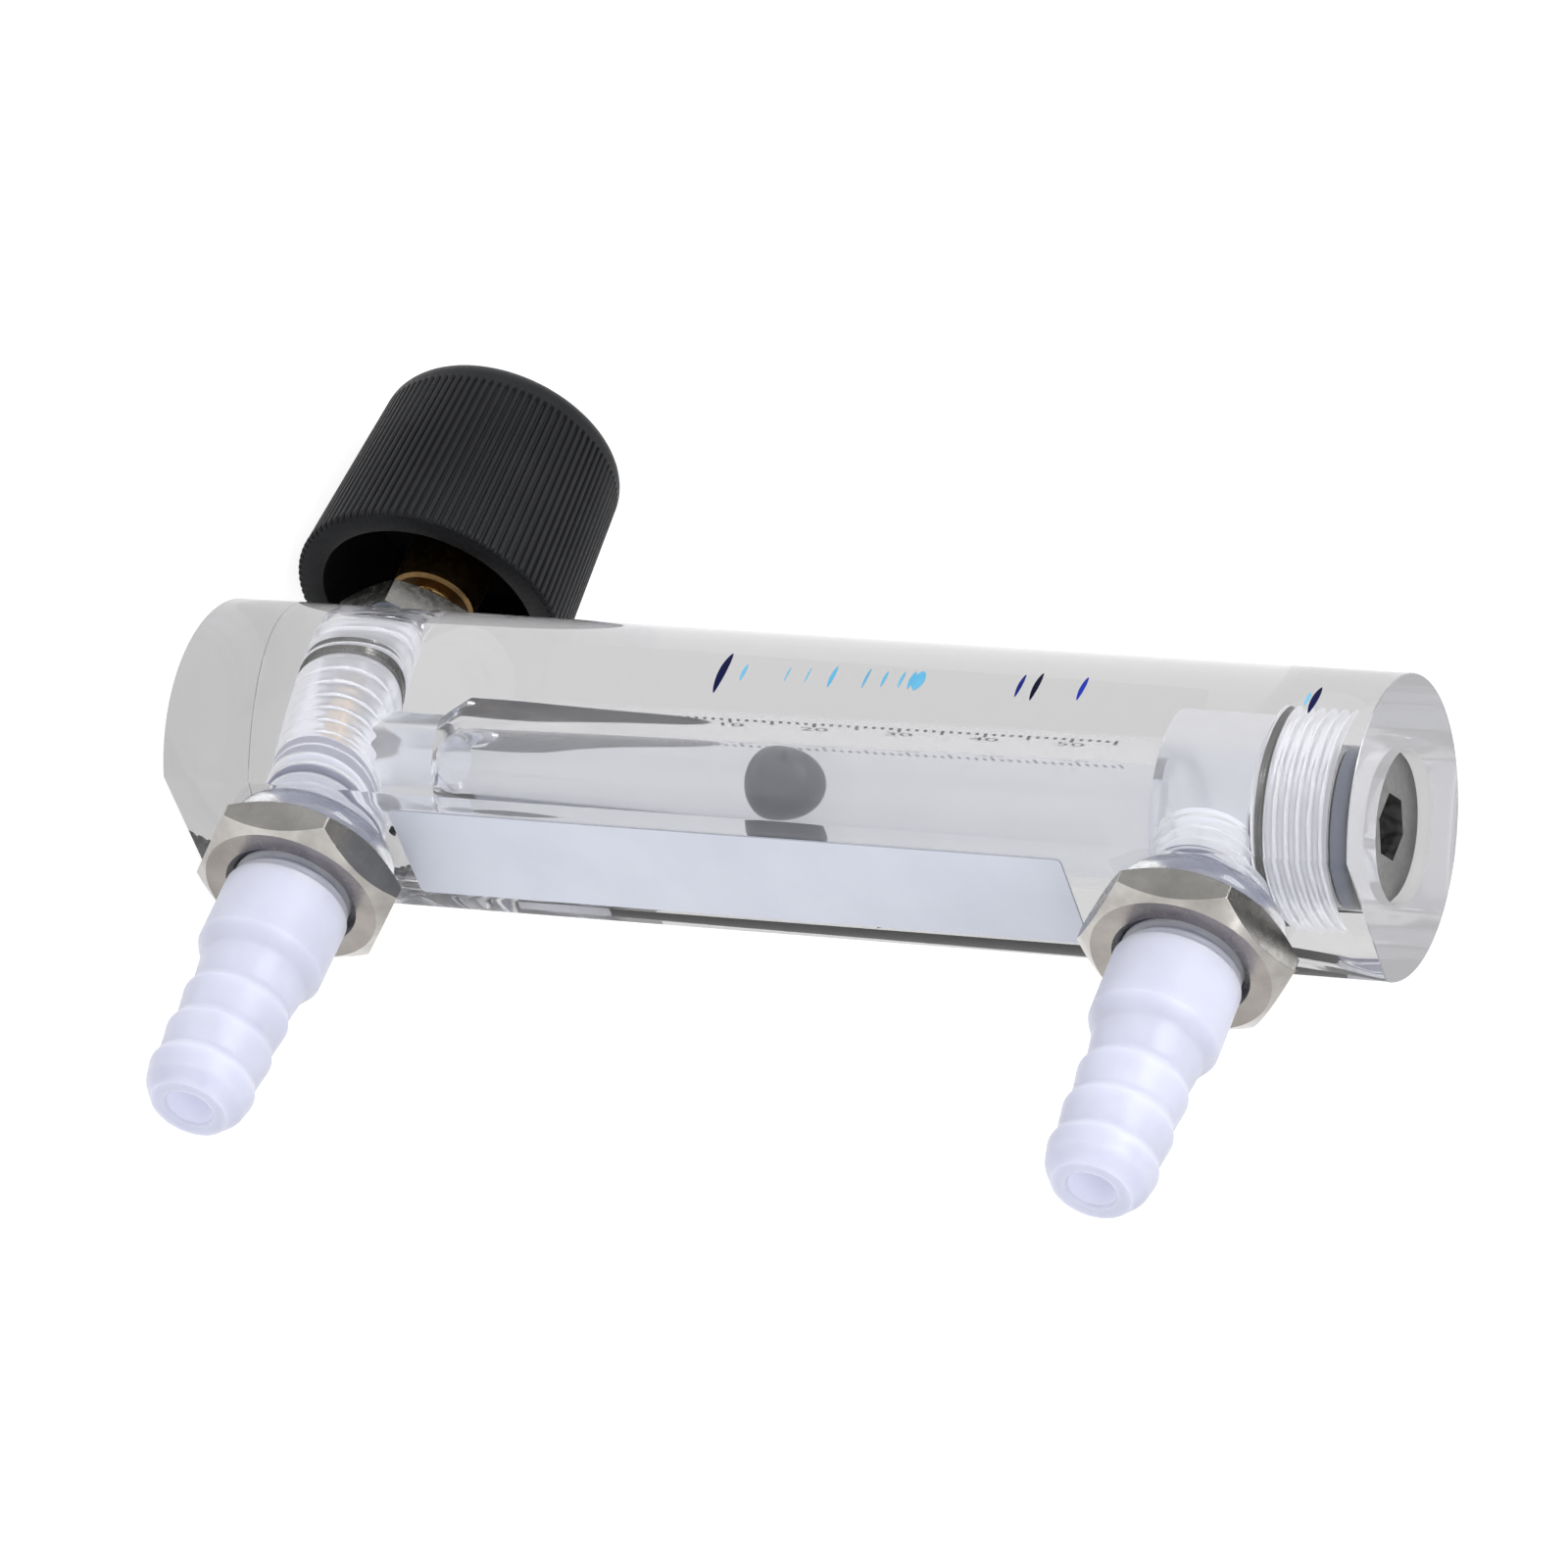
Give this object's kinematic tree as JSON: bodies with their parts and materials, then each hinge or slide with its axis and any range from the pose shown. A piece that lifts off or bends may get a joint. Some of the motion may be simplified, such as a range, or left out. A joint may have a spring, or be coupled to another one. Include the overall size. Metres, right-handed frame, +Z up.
{
  "type": "panel gas flow meter",
  "caption": "Clear round-bar gas flow meter with a flat rear, float in a tapered bore, ribbed needle valve knob and two rear hose barbs held by lock nuts.",
  "frame": {"origin": "on the clear body's axis at its bottom end face, which the meter can stand on", "axes": "+Z up the body axis and the tapered bore; -Y is the front with the valve knob; +Y is the flat rear with both hose fittings"},
  "size_m": [0.025, 0.0765, 0.1064],
  "materials": {
    "acrylic": "clear, polished",
    "label": "smooth, faintly blue white",
    "ink": "printed ink",
    "nylon": "milky, soft sheen",
    "nickel": "nickel plate, warm grey",
    "pale_seal": "pale silicone",
    "float": "dark, satin",
    "stop": "clear",
    "plug_metal": "turned, satin",
    "dark_seal": "smooth rubber",
    "brass": "turned",
    "knob": "moulded, matte"
  },
  "bodies": {
    "meter": {"acrylic_body": "acrylic", "scale_backing": "label", "scale_marks": "ink", "inlet_fitting": "nylon", "outlet_fitting": "nylon", "inlet_nut": "nickel", "outlet_nut": "nickel", "inlet_seal": "pale_seal", "outlet_seal": "pale_seal", "float_stop": "stop", "top_plug": "plug_metal", "plug_seal": "dark_seal", "valve_bonnet": "nickel", "bonnet_seal": "dark_seal", "valve_seat": "nylon"},
    "float": {"float_ball": "float"},
    "stem_ring": {"stem_seal": "dark_seal"},
    "knob_and_stem": {"knob": "knob", "knob_insert": "brass", "valve_stem": "brass"}
  },
  "joints": [
    {"name": "float_travel", "type": "slide", "parent": "meter", "child": "float", "axis": [0, 0, 1], "range_m": [-0.028, 0.0312]},
    {"name": "valve_lift", "type": "slide", "parent": "meter", "child": "stem_ring", "axis": [0, -1, 0], "range_m": [-0.00151, 0.00251]},
    {"name": "knob_turn", "type": "hinge", "parent": "stem_ring", "child": "knob_and_stem", "pos_m": [0, -0.0267, 0.0121], "axis": [0, -1, 0], "range_deg": [-1080, 1800]}
  ],
  "couplings": [
    {"joint": "valve_lift", "follows": "knob_turn", "m_per_rad": 0.000079577}
  ]
}
